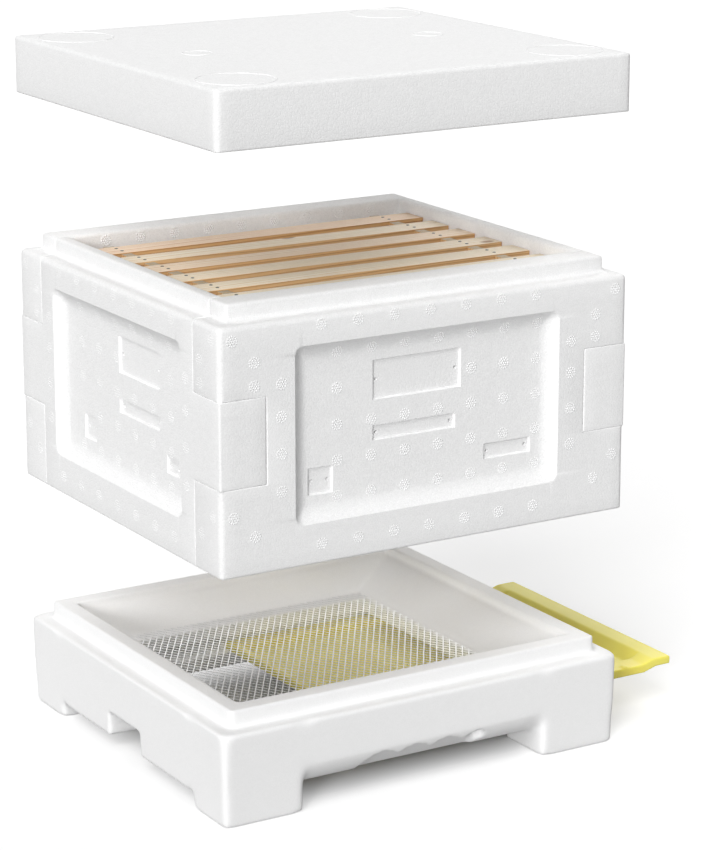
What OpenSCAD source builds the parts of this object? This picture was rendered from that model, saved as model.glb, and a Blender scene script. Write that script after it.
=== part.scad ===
// Foam nuc box for small frames: lid, four-wall box, wooden frames, floor with mesh, and drawer.
// The box and the lid stand lifted off their seats and the drawer stands partly out.
// Origin: on the ground at the centre of the feet. +X is the way the drawer pulls out.

/* [Frames] */
// Width of a frame over its side bars
frame_w = 230; // [200:1:280]
// Height of a frame
frame_h = 159; // [130:1:200]
// Distance between the centres of neighbouring frames
frame_pitch = 35; // [32:0.5:40]
// Width of a top bar
bar_w = 22; // [18:0.5:25]
// Thickness of a top bar
bar_t = 10; // [8:0.5:13]
// Length of a top bar's lug beyond the side bar
lug = 21.5; // [14:0.5:24]
// Thickness of a side bar
side_t = 8.5; // [6:0.5:12]
// Height of the wide spacing part of a side bar
spacer_h = 62; // [30:1:90]
// Width of a side bar below its spacing part
side_w = 25; // [18:0.5:28]
// How far a side bar's cheeks stay below the top of the top bar
cheek_drop = 0.8; // [0.4:0.1:4]
// Width of a bottom bar
foot_bar_w = 18; // [12:0.5:24]
// Thickness of a bottom bar
foot_bar_t = 8; // [6:0.5:12]

/* [Nails] */
// Diameter of a nail's shank
nail_d = 1.6; // [1:0.1:2.5]
// Diameter of a nail's head
nail_head_d = 3; // [2.5:0.1:4]
// Thickness of a nail's head
nail_head_t = 0.6; // [0.4:0.1:1]
// Length of a nail
nail_l = 24; // [18:1:32]
// Distance between the two nails in a joint
nail_gap = 9; // [6:0.5:12]

/* [Box] */
// Thickness of a box wall
wall = 35; // [30:1:45]
// Space between a side bar and the wall beside it
end_space = 10; // [6:0.5:12]
// Space between the outermost frame and the wall beside it
edge_space = 8; // [4:0.5:14]
// Space under the frames
low_space = 13; // [6:0.5:20]
// Height of the top bars above the shoulder of the box
bar_rise = 4; // [1:0.5:7]
// Height of the rim above the shoulder
rim_h = 12; // [8:0.5:16]
// Distance from the outside of the wall to the rim
rim_inset = 12; // [8:0.5:14]
// Radius of the upright outer edges
edge_r = 4; // [1:0.5:8]
// Height of the lower edge of the side walls' middle fingers
finger_low = 60; // [40:1:70]
// Height of the side walls' middle fingers
finger_h = 59; // [40:1:70]
// How far the box is lifted above its seat on the floor
box_lift = 108; // [20:1:200]

/* [Recessed panels] */
// Margin between a recessed panel and the inside of the corner, on the long walls
panel_margin_long = 21; // [12:1:40]
// Margin between a recessed panel and the inside of the corner, on the side walls
panel_margin_side = 18; // [12:1:40]
// Height of a recessed panel's lower edge
panel_low = 28; // [20:1:40]
// Distance from a recessed panel's upper edge to the shoulder
panel_drop = 19; // [12:1:30]
// Depth of a recessed panel
panel_depth = 7; // [3:0.5:12]
// Width of the sloping sides of a recessed panel
panel_slope = 9; // [4:0.5:14]
// Depth of the bare plate pockets in a panel
plate_depth = 1.2; // [0.5:0.1:3]

/* [Lid] */
// Height of the lid
lid_h = 40; // [30:1:60]
// How far the lid is lifted above its seat on the box
lid_lift = 112; // [20:1:200]

/* [Floor] */
// Height of the floor's shoulder
floor_h = 66; // [60:1:80]
// How much the outside narrows on each side from the shoulder to the ground
draft = 2; // [0.5:0.5:4]
// Length of a foot along the frames
foot_w = 63; // [45:1:75]
// Length of a foot across the frames
foot_d = 48; // [35:1:60]
// Height of the side skirts above the ground
skirt_rise = 10.5; // [6:0.5:14]
// Height of the front and back edges above the ground
front_rise = 15; // [12:0.5:18]
// Radius of the rolled lower edge at front and back
roll_r = 25; // [16:1:28]
// Width of the entrance notch in the side skirt
notch_w = 47; // [30:1:60]
// Height of the entrance notch above the ground
notch_h = 29; // [24:0.5:32]
// Depth of the entrance notch
notch_d = 30; // [22:1:34]
// Clear height of the entrance passage
passage_h = 9; // [7:0.5:11]
// Width of the floor's rim
tray_rim_w = 14; // [10:0.5:18]
// Height of the small step below the rim's inner edge
tray_step_h = 7; // [4:0.5:9]
// Width of the small step below the rim's inner edge
tray_step_w = 2; // [1:0.5:4]

/* [Finger grip] */
// Distance between the centres of neighbouring finger scallops
scallop_pitch = 26; // [24:0.5:28]
// Radius of a finger scallop
scallop_r = 16.5; // [15:0.5:18]
// Height of the top of the scallops above the ground
scallop_top = 31.5; // [28:0.5:36]
// Distance from the front of the floor to the top of the scallops
scallop_depth = 3.5; // [2:0.5:6]
// Angle between the flat that the scallops make and the upright
grip_lean = 48; // [40:1:52]
// How far the row of scallops sits beside the middle
grip_shift = 5; // [0:1:12]
// Radius of the round dimple beside the scallops
dimple_r = 5; // [3:0.5:7]
// Depth of the dimple below the scallops' flat
dimple_depth = 2.5; // [1:0.5:4]

/* [Mesh] */
// Depth of the mesh below the floor's shoulder
mesh_drop = 16; // [13:0.5:20]
// Thickness of the mesh
mesh_t = 1.2; // [0.8:0.1:2]
// Distance from the long inside faces of the box to the edge of the mesh
mesh_edge_long = 3; // [1:0.5:8]
// Distance from the side inside faces of the box to the edge of the mesh
mesh_edge_side = 23; // [15:0.5:30]
// Width of the mesh border that is tucked into the foam
mesh_tuck = 4; // [2:0.5:6]
// Number of gaps in the mesh along the frames
mesh_cols = 14; // [8:1:15]
// Number of gaps in the mesh across the frames
mesh_rows = 20; // [10:1:20]
// Width of the metal strands between the gaps
strand = 3; // [2:0.1:4]

/* [Drawer] */
// Length of the drawer's tray
drawer_l = 249; // [200:1:260]
// Height of the drawer's underside above the ground
drawer_rise = 27; // [24:0.5:29]
// Height of the drawer's rails
rail_h = 6.5; // [6:0.5:9]
// Width of the ledges that carry the drawer, and of the rail across its inner end
rail_w = 6; // [4:0.5:9]
// Width of the raised rails along the drawer's sides
shelf_w = 17; // [12:0.5:24]
// Thickness of the drawer's sheet
sheet_t = 2; // [1.5:0.1:3]
// Margin between the drawer and the edge of the mesh
drawer_margin = 7; // [5:0.5:12]
// Width of the flat pull flange
flange_w = 13; // [10:0.5:24]
// Height of the flange's top above the drawer's underside
flange_rise = 9.5; // [8.5:0.1:11]
// Height of the flange's turned-down outer edge
lip_h = 6.6; // [5:0.2:9]
// Length of the slope that leads up to the flange
ramp_l = 10; // [6:0.5:20]
// How far the closed drawer's flange stands out of the floor
flange_reach = 19; // [12:0.5:24]
// How far the drawer is pulled out
drawer_pull = 62; // [0:1:100]
// Diameter of the small stop nub on a rail
nub_d = 4.6; // [2:0.2:5]
// Height of the small stop nub on a rail
nub_h = 1.2; // [0.3:0.1:1.5]
// Distance from the stop nub to the end of its rail
nub_back = 17; // [10:0.5:24]

/* [Hidden] */
frame_count = 6;
frame_names = [for (i = [1 : frame_count]) str("frame_", i)];
frame_pieces = ["top_bar", "left_side_bar", "right_side_bar", "bottom_bar", "nails"];
$fn = 48;

// Overrun of every cut beyond the face that it opens
over = 1;
// Clearance round a rim in its seat
seat_gap = 0.5;
// Clearance at the ends of the lugs
lug_gap = 1;
// Clearance between the cheeks of neighbouring frames
cheek_gap = 0.6;
// Clearance round a nail and round a top bar in its notch
wood_gap = 0.05;
// Clearance round the drawer in its grooves
slide_gap = 0.5;
// Clearance round the mesh in its groove
mesh_gap = 0.2;

// Inside and outside of the box
inner_w = frame_w + 2 * end_space;
inner_d = frame_count * frame_pitch + 2 * edge_space;
body_w = inner_w + 2 * wall;
body_d = inner_d + 2 * wall;
box_h = low_space + frame_h - bar_rise;
ledge_z = box_h + bar_rise - bar_t;
bar_l = frame_w + 2 * lug;
rim_w = body_w - 2 * rim_inset;
rim_d = body_d - 2 * rim_inset;
seat_w = rim_w + 2 * seat_gap;
seat_d = rim_d + 2 * seat_gap;

// Heights of the lifted pieces above the ground
box_z = floor_h + box_lift;
lid_z = box_z + box_h + lid_lift;

// Recessed panels and their bare plates: centre along the wall, centre up the panel, width, height
panel_w = inner_w - 2 * panel_margin_long;
panel_d = inner_d - 2 * panel_margin_side;
panel_h = box_h - panel_low - panel_drop;
long_plate_shares = [
    [-0.03, 0.24, 0.33, 0.22],
    [-0.04, -0.06, 0.31, 0.08],
    [0.32, -0.27, 0.18, 0.085],
    [-0.39, -0.28, 0.09, 0.15]
];
side_plate_shares = [
    [0.12, 0.25, 0.31, 0.21],
    [0.12, -0.05, 0.31, 0.08],
    [-0.28, -0.27, 0.09, 0.14],
    [0.37, -0.27, 0.09, 0.07]
];

// Floor
floor_rim_top = floor_h + rim_h;
tray_top_w = rim_w - 2 * tray_rim_w;
tray_top_d = rim_d - 2 * tray_rim_w;
mesh_z = floor_h - mesh_drop;
mesh_w = inner_w - 2 * mesh_edge_side;
mesh_d = inner_d - 2 * mesh_edge_long;
sheet_w = mesh_w + 2 * mesh_tuck;
sheet_d = mesh_d + 2 * mesh_tuck;
opening_w = mesh_w - 2 * mesh_tuck;
drawer_d = mesh_d - 2 * drawer_margin;
opening_d = drawer_d - 2 * rail_w;
notch_back = -body_w / 2 + notch_d;
passage_out = [notch_back - passage_h / 2, notch_h - passage_h];
passage_in = [-mesh_w / 2 - passage_h / 2, mesh_z + passage_h];
passage_run = passage_in - passage_out;
passage_angle = atan2(passage_run[1], passage_run[0]);
scallop_count = 4;

// Drawer
flange_x = body_w / 2 + flange_reach + drawer_pull;
tray_end_x = flange_x - flange_w;
tray_in_x = tray_end_x - drawer_l;
groove_in_x = tray_in_x - drawer_pull - slide_gap;
slot_top = drawer_rise + flange_rise + slide_gap;

foam = "white";
floor_foam = "whitesmoke";
pine = "burlywood";
steel = "dimgray";
mesh_metal = "silver";
tray_plastic = "khaki";

// Flat rectangle with round corners, centred
module round_rect(w, d, r) {
    square([w - 2 * r, d], center = true);
    square([w, d - 2 * r], center = true);
    for (x = [-1, 1], y = [-1, 1])
        translate([x * (w / 2 - r), y * (d / 2 - r)])
            circle(r);
}

// Block with round upright edges, standing on its origin
module round_block(w, d, h, r) {
    linear_extrude(h)
        round_rect(w, d, r);
}

// Block centred along X and Y, standing on its origin
module slab(w, d, h) {
    translate([-w / 2, -d / 2, 0])
        cube([w, d, h]);
}

// Pocket that narrows from its mouth, w by d at its origin, to its floor, w2 by d2 at height h
module pocket(w, d, w2, d2, h) {
    intersection() {
        rotate([90, 0, 0])
            linear_extrude(max(d, d2), center = true)
                pocket_section(w, w2, h);
        rotate([90, 0, 90])
            linear_extrude(max(w, w2), center = true)
                pocket_section(d, d2, h);
    }
}

module pocket_section(a, b, h) {
    polygon([
        [-a / 2, -over], [a / 2, -over], [a / 2, 0],
        [b / 2, h], [-b / 2, h], [-a / 2, 0]
    ]);
}

// Seat under a lid or a box, which takes the rim below it
module rim_seat() {
    translate([0, 0, -over])
        slab(seat_w, seat_d, rim_h + seat_gap + over);
}

module lid() {
    color(foam)
        translate([0, 0, lid_z])
            difference() {
                round_block(body_w, body_d, lid_h, edge_r);
                rim_seat();
            }
}

// Recessed panel with bare plate pockets, cut into a face that looks along -Y
module panel_cut(w, shares) {
    translate([0, 0, panel_low + panel_h / 2])
        rotate([-90, 0, 0]) {
            pocket(w, panel_h, w - 2 * panel_slope, panel_h - 2 * panel_slope, panel_depth);
            for (s = shares)
                translate([s[0] * w, -s[1] * panel_h, panel_depth - over])
                    slab(s[2] * w, s[3] * panel_h, plate_depth + over);
        }
}

// Front wall: full length at its top and bottom, cut back in the middle for the side walls' fingers
module long_wall() {
    difference() {
        union() {
            intersection() {
                round_block(body_w, body_d, box_h, edge_r);
                translate([-body_w / 2, -body_d / 2, 0])
                    cube([body_w, wall, box_h]);
            }
            translate([-rim_w / 2, -rim_d / 2, box_h - over])
                cube([rim_w, wall - rim_inset, rim_h + over]);
        }
        for (side = [-1, 1])
            translate([side * (inner_w + wall + over) / 2, -body_d / 2 - over, finger_low])
                translate([-(wall + over) / 2, 0, 0])
                    cube([wall + over, wall + 2 * over, finger_h]);
        rim_seat();
        translate([0, -body_d / 2, 0])
            panel_cut(panel_w, long_plate_shares);
    }
}

module box_front_wall() {
    color(foam)
        translate([0, 0, box_z])
            long_wall();
}

module box_back_wall() {
    color(foam)
        translate([0, 0, box_z])
            rotate([0, 0, 180])
                long_wall();
}

// Left wall: fits between the long walls, with a middle finger through each of them
module side_wall() {
    difference() {
        union() {
            translate([-body_w / 2, -inner_d / 2, 0])
                cube([wall, inner_d, box_h]);
            intersection() {
                round_block(body_w, body_d, box_h, edge_r);
                translate([-body_w / 2, -body_d / 2, finger_low])
                    cube([wall, body_d, finger_h]);
            }
            translate([-rim_w / 2, -inner_d / 2, box_h - over])
                cube([wall - rim_inset, inner_d, rim_h + over]);
        }
        translate([-bar_l / 2 - lug_gap, -inner_d / 2 - over, ledge_z])
            cube([wall, inner_d + 2 * over, box_h + rim_h]);
        rim_seat();
        translate([-body_w / 2, 0, 0])
            rotate([0, 0, -90])
                panel_cut(panel_d, side_plate_shares);
    }
}

module box_left_wall() {
    color(foam)
        translate([0, 0, box_z])
            side_wall();
}

module box_right_wall() {
    color(foam)
        translate([0, 0, box_z])
            rotate([0, 0, 180])
                side_wall();
}

// Places a piece of frame i, whose own origin is under the middle of its bottom bar
module at_frame(i) {
    translate([0, (i - (frame_count - 1) / 2) * frame_pitch, box_z + low_space])
        children();
}

// Nails: two down through each end of the top bar, one up through each end of the bottom bar
module nail_set(gap) {
    for (side = [-1, 1])
        translate([side * (frame_w - side_t) / 2, 0, 0]) {
            for (y = [-1, 1])
                translate([0, y * nail_gap / 2, frame_h])
                    mirror([0, 0, 1])
                        nail(gap);
            nail(gap);
        }
}

// One nail, driven up from its origin with its head's face flush there
module nail(gap) {
    cylinder(d = nail_d + 2 * gap, h = nail_l + gap);
    cylinder(d = nail_head_d + 2 * gap, h = nail_head_t + gap);
}

module top_bar(i) {
    color(pine)
        at_frame(i)
            difference() {
                translate([0, 0, frame_h - bar_t])
                    slab(bar_l, bar_w, bar_t);
                nail_set(wood_gap);
            }
}

// Side bar: cheeks beside the top bar, a wide spacing part, then a narrower lower part
module side_bar(i, side) {
    cheek_top = frame_h - cheek_drop;
    spacer_low = frame_h - bar_t - spacer_h;
    color(pine)
        at_frame(i)
            difference() {
                translate([side * (frame_w - side_t) / 2, 0, 0]) {
                    translate([0, 0, spacer_low])
                        slab(side_t, frame_pitch - cheek_gap, cheek_top - spacer_low);
                    translate([0, 0, foot_bar_t])
                        slab(side_t, side_w, spacer_low - foot_bar_t);
                }
                translate([0, 0, frame_h - bar_t])
                    slab(bar_l, bar_w + 2 * wood_gap, bar_t + over);
                nail_set(wood_gap);
            }
}

module bottom_bar(i) {
    color(pine)
        at_frame(i)
            difference() {
                slab(frame_w, foot_bar_w, foot_bar_t);
                nail_set(wood_gap);
            }
}

module nails(i) {
    color(steel)
        at_frame(i)
            nail_set(0);
}

// Cut that leaves a rolled lower edge along the front, between the feet
module roll_cut() {
    w = body_w - 2 * foot_w;
    translate([-w / 2, -body_d / 2, 0])
        rotate([90, 0, 90])
            linear_extrude(w)
                difference() {
                    translate([-over, -over])
                        square([roll_r + over, front_rise + roll_r + over]);
                    translate([roll_r, front_rise + roll_r])
                        circle(roll_r);
                }
}

// Finger grip: a leaning flat across the rolled edge, scalloped at its top, with a round dimple beside it
module grip_cut() {
    row_l = (scallop_count - 1) * scallop_pitch;
    row_x = grip_shift - row_l / 2;
    corner = [row_x - scallop_r, -3 * scallop_r, 0];
    translate([0, -body_d / 2 + scallop_depth, scallop_top])
        rotate([90 + grip_lean, 0, 0]) {
            intersection() {
                union() {
                    for (i = [0 : scallop_count - 1])
                        translate([row_x + i * scallop_pitch, -scallop_r, 0])
                            cylinder(r = scallop_r, h = roll_r);
                    translate(corner)
                        cube([row_l + scallop_r, 2 * scallop_r, roll_r]);
                }
                translate(corner)
                    cube([row_l + scallop_r, 3 * scallop_r, roll_r]);
            }
            translate([row_x + row_l, -dimple_r, -dimple_depth])
                cylinder(r = dimple_r, h = dimple_depth + roll_r);
        }
}

// Wedge that drafts a face looking along -Y
module draft_cut(w, y) {
    translate([-w / 2, -y, 0])
        rotate([90, 0, 90])
            linear_extrude(w)
                polygon([[-over, -over], [draft, -over], [draft, 0], [0, floor_h], [-over, floor_h]]);
}

// Sloping way from the entrance notch up to the inside, above the mesh
module passage_cut() {
    translate([passage_out[0], 0, passage_out[1]])
        rotate([0, -passage_angle, 0])
            translate([-passage_h / 2, -notch_w / 2, -passage_h / 2])
                cube([norm(passage_run) + passage_h, notch_w, passage_h]);
}

module floor_tray() {
    under_w = body_w - 2 * foot_w;
    under_d = body_d - 2 * foot_d;
    color(floor_foam)
        difference() {
            union() {
                round_block(body_w, body_d, floor_h, edge_r);
                translate([0, 0, floor_h - over])
                    round_block(rim_w, rim_d, rim_h + over, edge_r);
            }
            for (turn = [0, 180])
                rotate([0, 0, turn]) {
                    draft_cut(body_w, body_d / 2);
                    roll_cut();
                    grip_cut();
                }
            for (turn = [90, 270])
                rotate([0, 0, turn])
                    draft_cut(body_d, body_w / 2);
            translate([0, 0, -over]) {
                slab(under_w, body_d + 2 * over, front_rise + over);
                slab(body_w + 2 * over, under_d, skirt_rise + over);
                slab(opening_w, opening_d, mesh_z + over);
            }
            translate([-body_w / 2 - over, -notch_w / 2, -over])
                cube([notch_d + over, notch_w, notch_h + over]);
            passage_cut();
            translate([0, 0, floor_rim_top - tray_step_h])
                slab(tray_top_w, tray_top_d, tray_step_h + over);
            translate([0, 0, floor_rim_top - tray_step_h])
                mirror([0, 0, 1])
                    pocket(
                        tray_top_w - 2 * tray_step_w, tray_top_d - 2 * tray_step_w,
                        mesh_w, mesh_d, floor_rim_top - tray_step_h - mesh_z
                    );
            translate([0, 0, mesh_z - mesh_t - mesh_gap])
                slab(sheet_w + 2 * mesh_gap, sheet_d + 2 * mesh_gap, mesh_t + 2 * mesh_gap);
            translate([groove_in_x, -drawer_d / 2 - slide_gap, drawer_rise - slide_gap])
                cube([body_w, drawer_d + 2 * slide_gap, slot_top - drawer_rise + slide_gap]);
        }
}

// Flat metal mesh: rows of pointed gaps, each row shifted by half a gap from the one before
module floor_mesh() {
    pitch_x = mesh_w / mesh_cols;
    pitch_y = mesh_d / mesh_rows;
    gap_l = pitch_x - strand;
    color(mesh_metal)
        translate([0, 0, mesh_z - mesh_t])
            linear_extrude(mesh_t)
                difference() {
                    square([sheet_w, sheet_d], center = true);
                    for (row = [0 : mesh_rows - 1])
                        for (col = [0 : mesh_cols - 1 - row % 2])
                            translate([
                                (col - (mesh_cols - 1 - row % 2) / 2) * pitch_x,
                                (row - (mesh_rows - 1) / 2) * pitch_y
                            ])
                                polygon([[-gap_l / 2, 0], [0, -pitch_y / 2 + strand / 2],
                                    [gap_l / 2, 0], [0, pitch_y / 2 - strand / 2]]);
                }
}

// Side outline of the drawer's sheet: tray floor, ramp, flange and turned-down edge
module drawer_section() {
    top = flange_rise;
    polygon([
        [0, 0], [drawer_l - ramp_l, 0], [drawer_l, top - sheet_t],
        [drawer_l + flange_w - sheet_t, top - sheet_t], [drawer_l + flange_w - sheet_t, top - lip_h],
        [drawer_l + flange_w, top - lip_h], [drawer_l + flange_w, top],
        [drawer_l - sheet_t, top], [drawer_l - ramp_l - sheet_t, sheet_t], [0, sheet_t]
    ]);
}

// Side outline of a rail and of the slope that carries it up to the flange
module rail_section() {
    rail_l = drawer_l - ramp_l;
    polygon([
        [0, 0], [rail_l, 0], [drawer_l, flange_rise - sheet_t],
        [drawer_l - sheet_t, flange_rise], [rail_l - sheet_t, rail_h], [0, rail_h]
    ]);
}

// Side outline of the thin wall that closes the slope and the flange at their ends
module flange_end_section() {
    rail_l = drawer_l - ramp_l;
    top = flange_rise;
    polygon([
        [rail_l - sheet_t, 0], [rail_l, 0], [drawer_l, top - lip_h], [drawer_l + flange_w, top - lip_h],
        [drawer_l + flange_w, top], [drawer_l - sheet_t, top], [rail_l - sheet_t, rail_h]
    ]);
}

// Outline stood upright along X and drawn out along Y, from y on
module drawn_out(y, depth) {
    translate([0, y + depth, 0])
        rotate([90, 0, 0])
            linear_extrude(depth)
                children();
}

module drawer() {
    color(tray_plastic)
        translate([tray_in_x, 0, drawer_rise]) {
            drawn_out(-drawer_d / 2, drawer_d)
                drawer_section();
            for (turn = [0, 1])
                mirror([0, turn, 0]) {
                    drawn_out(-drawer_d / 2, shelf_w)
                        rail_section();
                    drawn_out(-drawer_d / 2, sheet_t)
                        flange_end_section();
                    translate([drawer_l - ramp_l - nub_back, (rail_w - drawer_d) / 2, rail_h - nub_h])
                        cylinder(d = nub_d, h = 2 * nub_h);
                }
            translate([0, -drawer_d / 2, 0])
                cube([rail_w, drawer_d, rail_h]);
        }
}

lid();
box_front_wall();
box_back_wall();
box_left_wall();
box_right_wall();
for (i = [0 : frame_count - 1]) {
    top_bar(i);
    side_bar(i, -1);
    side_bar(i, 1);
    bottom_bar(i);
    nails(i);
}
floor_tray();
floor_mesh();
drawer();
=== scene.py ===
import math

import bmesh
import bpy
import numpy as np
from mathutils import Matrix, Vector


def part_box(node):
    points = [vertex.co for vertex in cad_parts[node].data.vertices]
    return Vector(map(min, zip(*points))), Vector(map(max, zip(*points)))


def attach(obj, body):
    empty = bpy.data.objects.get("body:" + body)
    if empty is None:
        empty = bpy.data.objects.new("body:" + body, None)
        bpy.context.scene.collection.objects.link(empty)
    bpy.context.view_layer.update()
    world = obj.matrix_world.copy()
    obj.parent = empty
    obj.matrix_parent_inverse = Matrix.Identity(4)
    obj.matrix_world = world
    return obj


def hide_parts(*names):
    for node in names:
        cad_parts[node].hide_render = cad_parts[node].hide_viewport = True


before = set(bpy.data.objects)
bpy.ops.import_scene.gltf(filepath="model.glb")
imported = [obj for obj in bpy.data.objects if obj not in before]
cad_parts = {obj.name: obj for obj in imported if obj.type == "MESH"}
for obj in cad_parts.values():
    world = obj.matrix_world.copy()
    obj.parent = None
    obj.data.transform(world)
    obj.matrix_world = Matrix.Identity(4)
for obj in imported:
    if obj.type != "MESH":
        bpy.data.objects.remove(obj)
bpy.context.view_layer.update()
mm = 0.001
scene = bpy.context.scene
scene.view_settings.view_transform = "Standard"


def linear(hexText):  # sRGB hex to the linear colour that the sockets take
    parts = [int(hexText[i:i + 2], 16) / 255 for i in (1, 3, 5)]
    return [p / 12.92 if p <= 0.04045 else ((p + 0.055) / 1.055) ** 2.4 for p in parts] + [1.0]


def setInputs(tree, node, inputs):  # inputs are values, or what to link from: a socket, or a node's first
    for name, value in inputs.items():
        value = value.outputs[0] if isinstance(value, bpy.types.Node) else value
        if isinstance(value, bpy.types.NodeSocket):
            tree.links.new(value, node.inputs[name])
        else:
            node.inputs[name].default_value = value


def addNode(tree, kind, inputs=None, stops=(), **settings):  # stops: a ramp's places and hex colours
    node = tree.nodes.new(kind)
    for name, value in settings.items():
        setattr(node, name, value)
    setInputs(tree, node, inputs or {})
    marks = node.color_ramp.elements if stops else ()
    while len(marks) < len(stops):
        marks.new(0.5)
    for mark, (place, hexText) in zip(marks, stops):
        mark.position = place
        mark.color = linear(hexText)
    return node


def newMaterial(name):
    material = bpy.data.materials.new(name)
    material.use_nodes = True
    tree = material.node_tree
    place = addNode(tree, "ShaderNodeTexCoord").outputs
    return material, tree, tree.nodes["Principled BSDF"], place


# Materials

foamLook = {
    "beadSize": 2.6 * mm,      # fused polystyrene beads
    "wander": 1.4 * mm,        # how far their seams stray
    "wanderSize": 6.5 * mm,    # and over what length
    "grit": 0.8 * mm,          # skin texture between the beads' seams
    "seamShare": 0.2,          # part of a bead that its sunk seam takes up
    "pores": (0.3, 0.7),       # levels of the grit that read as a pore and as plain skin
    "poreShare": 0.8,          # part of the speckle that comes from the pores, not from bead to bead
    "rough": (0.55, 0.75),
    "ior": 1.5,
    "gloss": 0.3,
}


def expandedPolystyrene(name, beadRelief, gritRelief, shade, pale):
    # Steam-moulded bead foam: matt and white, with sunk seams between flattened beads and a pebbly skin.
    material, tree, shader, place = newMaterial(name)
    s, where = foamLook, place["Object"]
    wobble = addNode(tree, "ShaderNodeTexNoise", {"Vector": where, "Scale": 1 / s["wanderSize"]})
    moved = addNode(tree, "ShaderNodeVectorMath", {0: wobble.outputs["Color"], 1: [s["wander"]] * 3},
                    operation="MULTIPLY")
    bent = addNode(tree, "ShaderNodeVectorMath", {0: where, 1: moved}, operation="ADD")
    cells = {"Vector": bent, "Scale": 1 / s["beadSize"]}
    edges = addNode(tree, "ShaderNodeTexVoronoi", cells, feature="DISTANCE_TO_EDGE")
    seams = addNode(tree, "ShaderNodeMapRange", {"Value": edges.outputs["Distance"],
                    "From Max": s["seamShare"]}, interpolation_type="SMOOTHSTEP")
    grit = addNode(tree, "ShaderNodeTexNoise", {"Vector": where, "Scale": 1 / s["grit"], "Detail": 3.0})
    beadBump = addNode(tree, "ShaderNodeBump", {"Height": seams, "Strength": 1.0, "Distance": beadRelief})
    gritBump = addNode(tree, "ShaderNodeBump", {"Height": grit, "Strength": 1.0,
                       "Distance": gritRelief, "Normal": beadBump})
    beads = addNode(tree, "ShaderNodeTexVoronoi", cells)
    tone = addNode(tree, "ShaderNodeSeparateColor", {"Color": beads.outputs["Color"]})
    pores = addNode(tree, "ShaderNodeMapRange", {"Value": grit, "From Min": s["pores"][0],
                    "From Max": s["pores"][1]})
    speckle = addNode(tree, "ShaderNodeMix", {"Factor": s["poreShare"], "A": tone, "B": pores})
    colour = addNode(tree, "ShaderNodeValToRGB", {"Fac": speckle.outputs["Result"]},
                     [(0.0, shade), (1.0, pale)])
    rough = addNode(tree, "ShaderNodeMapRange", {"Value": grit, "To Min": s["rough"][0],
                    "To Max": s["rough"][1]})
    setInputs(tree, shader, {"Base Color": colour.outputs["Color"], "Roughness": rough,
                             "Normal": gritBump, "IOR": s["ior"],
                             "Specular IOR Level": s["gloss"]})
    return material


pineLook = {
    "ring": 2.6 * mm,          # spacing of the growth lines on a sawn face
    "fibre": 0.7 * mm,         # fine streaks between them
    "streak": 120 * mm,        # how far a streak runs along the grain
    "fibreShare": 0.75,        # weight of the streaks, where the growth lines' is 1
    "earlyShare": 0.35,        # part of a ring that is pale early wood
    "waver": 7.0,              # how many rings a growth line strays
    "waverAcross": 20.8 * mm,  # and over what lengths, across and along the grain
    "waverAlong": 360 * mm,
    "pitch": 35 * mm,          # each frame's bars are sawn from another board
    "boardShift": (700 * mm, 50 * mm, 50 * mm),
    "knotApart": 60 * mm,
    "knotShare": 0.07,         # a knot's radius, as a part of that distance
    "knotStretch": 0.6,        # knots are longer and further apart along the grain
    "knotDepth": 0.8,
    "knotTone": "#8a5a30",
    "sideShadeShare": 0.75,         # how far upright faces take the darker amber tones: painted shade between the close bars
    "upright": (0.3, 0.7),     # share of Z in the normal of an upright face and of a level one
    "endOn": 0.7,              # share of the grain's axis in the normal of a face where the grain ends
    "relief": 0.2 * mm,
    "reliefStrength": 0.6,
    "rough": (0.5, 0.68),
    "gloss": 0.3,
    "pale": [(0.12, "#f9f0df"), (0.5, "#f3e5c9"), (0.95, "#dcbd90")],
    "warm": [(0.12, "#f6dfc8"), (0.5, "#ecceb0"), (0.95, "#d2a37c")],
    # painted shade: darker amber tones for the upright faces
    "sideShadeTones": [(0.12, "#d39c48"), (0.95, "#9a611f")],
}


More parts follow.
